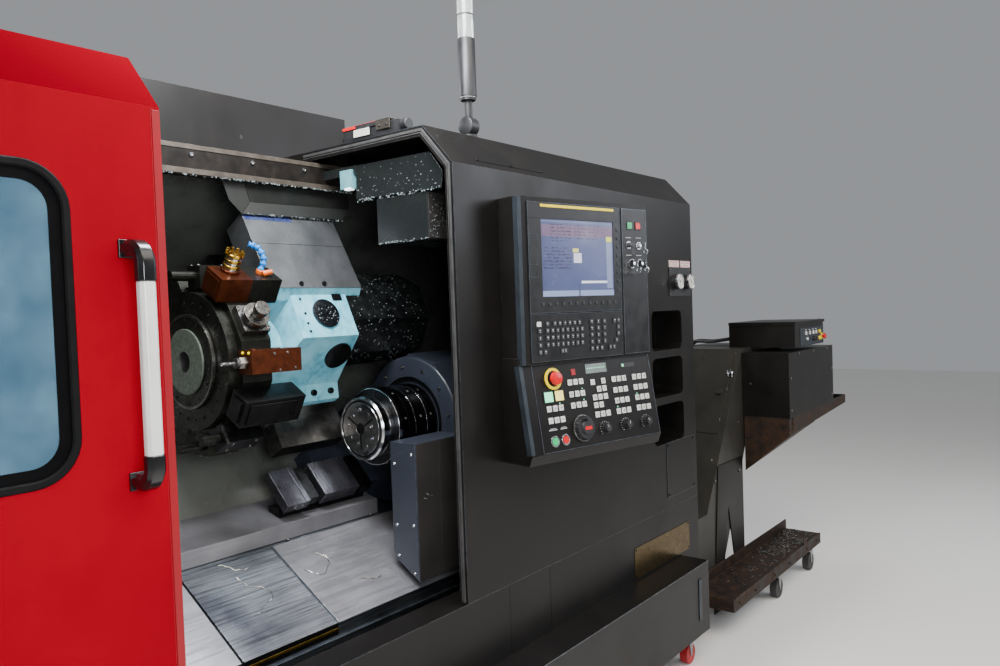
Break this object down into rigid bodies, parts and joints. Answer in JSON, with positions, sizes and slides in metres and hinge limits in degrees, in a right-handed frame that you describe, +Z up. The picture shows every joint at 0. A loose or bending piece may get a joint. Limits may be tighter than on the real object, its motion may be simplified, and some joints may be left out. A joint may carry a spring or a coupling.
{
  "type": "cnc turning lathe",
  "caption": "Slant-bed turning lathe with sliding door, driven-tool turret, sub-spindle, operator panel, coolant tank and chip conveyor.",
  "frame": {"origin": "middle of the footprint on the floor", "axes": "+X to the operator's right along the spindle axis, +Y to the back, +Z up"},
  "size_m": [4.99, 2.0684, 2.454],
  "materials": {
    "black_paint": "textured",
    "red_paint": "gloss",
    "grey_paint": "satin",
    "wall_paint": "satin",
    "blue_paint": "satin",
    "stainless": "brushed",
    "steel": "ground",
    "black_steel": "blackened",
    "casting": "painted",
    "bronze": "coated",
    "black_plastic": "matte",
    "red_plastic": "gloss",
    "green_plastic": "gloss",
    "white_coat": "coated",
    "clear_plastic": "clear",
    "window_glass": "laminated",
    "grey_rubber": "matte"
  },
  "bodies": {
    "frame": {"bed": "casting", "headstock": "casting", "left_cover": "black_paint", "left_bulkhead": "wall_paint", "back_wall": "wall_paint", "floor_plates": "stainless", "column_shell": "black_paint", "lower_front_panel": "black_paint", "rear_housing": "black_paint", "door_top_rail": "steel", "electrical_cabinet": "grey_paint", "coolant_tank": "black_paint", "conveyor_body": "black_paint", "conveyor_drive_guard": "black_paint", "conveyor_control_box": "black_paint", "conveyor_stand": "black_paint", "conveyor_deck": "steel", "guard_lock": "black_plastic", "tower_base": "black_plastic", "control_panel": "black_paint", "gauge_panel": "black_plastic"},
    "door": {"door_shell": "red_paint", "door_window": "window_glass", "door_handle": "white_coat"},
    "main_spindle": {"main_chuck": "steel"},
    "jaw_1": {"chuck_jaw_1": "steel"},
    "jaw_2": {"chuck_jaw_2": "steel"},
    "jaw_3": {"chuck_jaw_3": "steel"},
    "saddle": {"saddle": "grey_paint"},
    "turret": {"cross_slide": "steel", "turret_head": "blue_paint"},
    "disc": {"turret_disc": "steel", "radial_live_holder": "steel", "axial_live_holder": "bronze"},
    "collet": {"radial_collet": "steel"},
    "drill": {"drill_spindle": "steel"},
    "sub_carriage": {"sub_spindle_head": "grey_paint", "sub_drive_cover": "grey_paint"},
    "sub_spindle": {"sub_chuck": "black_steel"},
    "estop": {"estop": "red_plastic"},
    "cycle_start": {"cycle_start": "green_plastic"},
    "feed_hold": {"feed_hold": "red_plastic"},
    "power_on": {"power_on": "green_plastic"},
    "power_off": {"power_off": "red_plastic"},
    "handwheel": {"handwheel": "black_plastic"},
    "override_knob_1": {"override_knob_1": "black_plastic"},
    "override_knob_2": {"override_knob_2": "black_plastic"},
    "override_knob_3": {"override_knob_3": "black_plastic"},
    "selector_switch_1": {"selector_switch_1": "black_plastic"},
    "selector_switch_2": {"selector_switch_2": "black_plastic"},
    "signal_tower": {"signal_tower": "clear_plastic"},
    "cabinet_door": {"cabinet_door": "grey_paint"},
    "control_lid": {"conveyor_control_lid": "black_paint"},
    "hatch": {"conveyor_hatch": "black_paint"},
    "tank_caster_fork": {"tank_caster_fork": "steel"},
    "tank_caster_wheel": {"tank_caster_wheel": "red_plastic"},
    "near_caster_fork": {"conveyor_caster_near_fork": "steel"},
    "near_caster_wheel": {"conveyor_caster_near_wheel": "grey_rubber"},
    "far_caster_fork": {"conveyor_caster_far_fork": "steel"},
    "far_caster_wheel": {"conveyor_caster_far_wheel": "grey_rubber"}
  },
  "joints": [
    {"name": "door_slide", "type": "slide", "parent": "frame", "child": "door", "axis": [1, 0, 0], "range_m": [0, 0.825]},
    {"name": "main_spindle_turn", "type": "hinge", "parent": "frame", "child": "main_spindle", "pos_m": [-1.365, -0.3624, 1.06], "axis": [1, 0, 0], "continuous": true},
    {"name": "jaw_1_slide", "type": "slide", "parent": "main_spindle", "child": "jaw_1", "axis": [0, 0, 1], "range_m": [-0.006, 0.008]},
    {"name": "jaw_2_slide", "type": "slide", "parent": "main_spindle", "child": "jaw_2", "axis": [0, -0.866, -0.5], "range_m": [-0.006, 0.008]},
    {"name": "jaw_3_slide", "type": "slide", "parent": "main_spindle", "child": "jaw_3", "axis": [0, 0.866, -0.5], "range_m": [-0.006, 0.008]},
    {"name": "saddle_z_slide", "type": "slide", "parent": "frame", "child": "saddle", "axis": [1, 0, 0], "range_m": [-0.13, 0.08]},
    {"name": "turret_x_slide", "type": "slide", "parent": "saddle", "child": "turret", "axis": [0, 0.5, 0.866], "range_m": [-0.02, 0.12]},
    {"name": "turret_index", "type": "hinge", "parent": "turret", "child": "disc", "pos_m": [-0.965, -0.2224, 1.30249], "axis": [1, 0, 0], "continuous": true},
    {"name": "radial_tool_turn", "type": "hinge", "parent": "disc", "child": "collet", "pos_m": [-0.92, -0.43683, 1.42629], "axis": [0, -0.866, 0.5], "continuous": true},
    {"name": "drill_turn", "type": "hinge", "parent": "disc", "child": "drill", "pos_m": [-0.9753, -0.4577, 1.30249], "axis": [1, 0, 0], "continuous": true},
    {"name": "sub_carriage_slide", "type": "slide", "parent": "frame", "child": "sub_carriage", "axis": [1, 0, 0], "range_m": [-0.08, 0.45]},
    {"name": "sub_spindle_turn", "type": "hinge", "parent": "sub_carriage", "child": "sub_spindle", "pos_m": [-0.295, -0.3624, 1.06], "axis": [1, 0, 0], "continuous": true},
    {"name": "estop_press", "type": "slide", "parent": "frame", "child": "estop", "axis": [0.2131, 0.961, -0.1762], "range_m": [0, 0.004], "stiffness_N_per_m": 1200},
    {"name": "cycle_start_press", "type": "slide", "parent": "frame", "child": "cycle_start", "axis": [0.2131, 0.961, -0.1762], "range_m": [0, 0.003], "stiffness_N_per_m": 600},
    {"name": "feed_hold_press", "type": "slide", "parent": "frame", "child": "feed_hold", "axis": [0.2131, 0.961, -0.1762], "range_m": [0, 0.003], "stiffness_N_per_m": 600},
    {"name": "power_on_press", "type": "slide", "parent": "frame", "child": "power_on", "axis": [0.2164, 0.9763, 0], "range_m": [0, 0.003], "stiffness_N_per_m": 600},
    {"name": "power_off_press", "type": "slide", "parent": "frame", "child": "power_off", "axis": [0.2164, 0.9763, 0], "range_m": [0, 0.003], "stiffness_N_per_m": 600},
    {"name": "handwheel_turn", "type": "hinge", "parent": "frame", "child": "handwheel", "pos_m": [-0.16117, -0.95314, 1.05276], "axis": [-0.2131, -0.961, 0.1762], "continuous": true},
    {"name": "override_1_turn", "type": "hinge", "parent": "frame", "child": "override_knob_1", "pos_m": [-0.07016, -0.97228, 1.0414], "axis": [-0.2131, -0.961, 0.1762], "range_deg": [-140, 140]},
    {"name": "override_2_turn", "type": "hinge", "parent": "frame", "child": "override_knob_2", "pos_m": [0.02161, -0.99262, 1.0414], "axis": [-0.2131, -0.961, 0.1762], "range_deg": [-140, 140]},
    {"name": "override_3_turn", "type": "hinge", "parent": "frame", "child": "override_knob_3", "pos_m": [0.11339, -1.01297, 1.0414], "axis": [-0.2131, -0.961, 0.1762], "range_deg": [-140, 140]},
    {"name": "selector_1_turn", "type": "hinge", "parent": "frame", "child": "selector_switch_1", "pos_m": [0.10279, -0.98224, 1.547], "axis": [-0.2164, -0.9763, 0], "range_deg": [-45, 45]},
    {"name": "selector_2_turn", "type": "hinge", "parent": "frame", "child": "selector_switch_2", "pos_m": [0.13989, -0.99047, 1.547], "axis": [-0.2164, -0.9763, 0], "range_deg": [-45, 45]},
    {"name": "tower_fold", "type": "hinge", "parent": "frame", "child": "signal_tower", "pos_m": [-0.29, -0.6554, 1.977], "axis": [-1, 0, 0], "range_deg": [0, 90]},
    {"name": "cabinet_door_swing", "type": "hinge", "parent": "frame", "child": "cabinet_door", "pos_m": [-1.645, 1.0192, 1.2], "axis": [0, 0, 1], "range_deg": [0, 110]},
    {"name": "control_lid_swing", "type": "hinge", "parent": "frame", "child": "control_lid", "pos_m": [1.927, -0.6364, 1.2896], "axis": [-1, 0, 0], "range_deg": [0, 95]},
    {"name": "hatch_swing", "type": "hinge", "parent": "frame", "child": "hatch", "pos_m": [1.57189, -0.5464, 1.15369], "axis": [0, 1, 0], "range_deg": [0, 80]},
    {"name": "tank_caster_swivel", "type": "hinge", "parent": "frame", "child": "tank_caster_fork", "pos_m": [0.663, -0.8584, 0.1197], "axis": [0, 0, 1], "continuous": true},
    {"name": "tank_wheel_roll", "type": "hinge", "parent": "tank_caster_fork", "child": "tank_caster_wheel", "pos_m": [0.681, -0.8584, 0.0383], "axis": [0, 1, 0], "continuous": true},
    {"name": "near_caster_swivel", "type": "hinge", "parent": "frame", "child": "near_caster_fork", "pos_m": [1.535, -0.9014, 0.1197], "axis": [0, 0, 1], "continuous": true},
    {"name": "near_wheel_roll", "type": "hinge", "parent": "near_caster_fork", "child": "near_caster_wheel", "pos_m": [1.553, -0.9014, 0.0453], "axis": [0, 1, 0], "continuous": true},
    {"name": "far_caster_swivel", "type": "hinge", "parent": "frame", "child": "far_caster_fork", "pos_m": [2.005, -0.9014, 0.1197], "axis": [0, 0, 1], "continuous": true},
    {"name": "far_wheel_roll", "type": "hinge", "parent": "far_caster_fork", "child": "far_caster_wheel", "pos_m": [2.023, -0.9014, 0.0453], "axis": [0, 1, 0], "continuous": true}
  ],
  "couplings": [
    {"joint": "jaw_2_slide", "follows": "jaw_1_slide", "ratio": 1},
    {"joint": "jaw_3_slide", "follows": "jaw_1_slide", "ratio": 1}
  ]
}
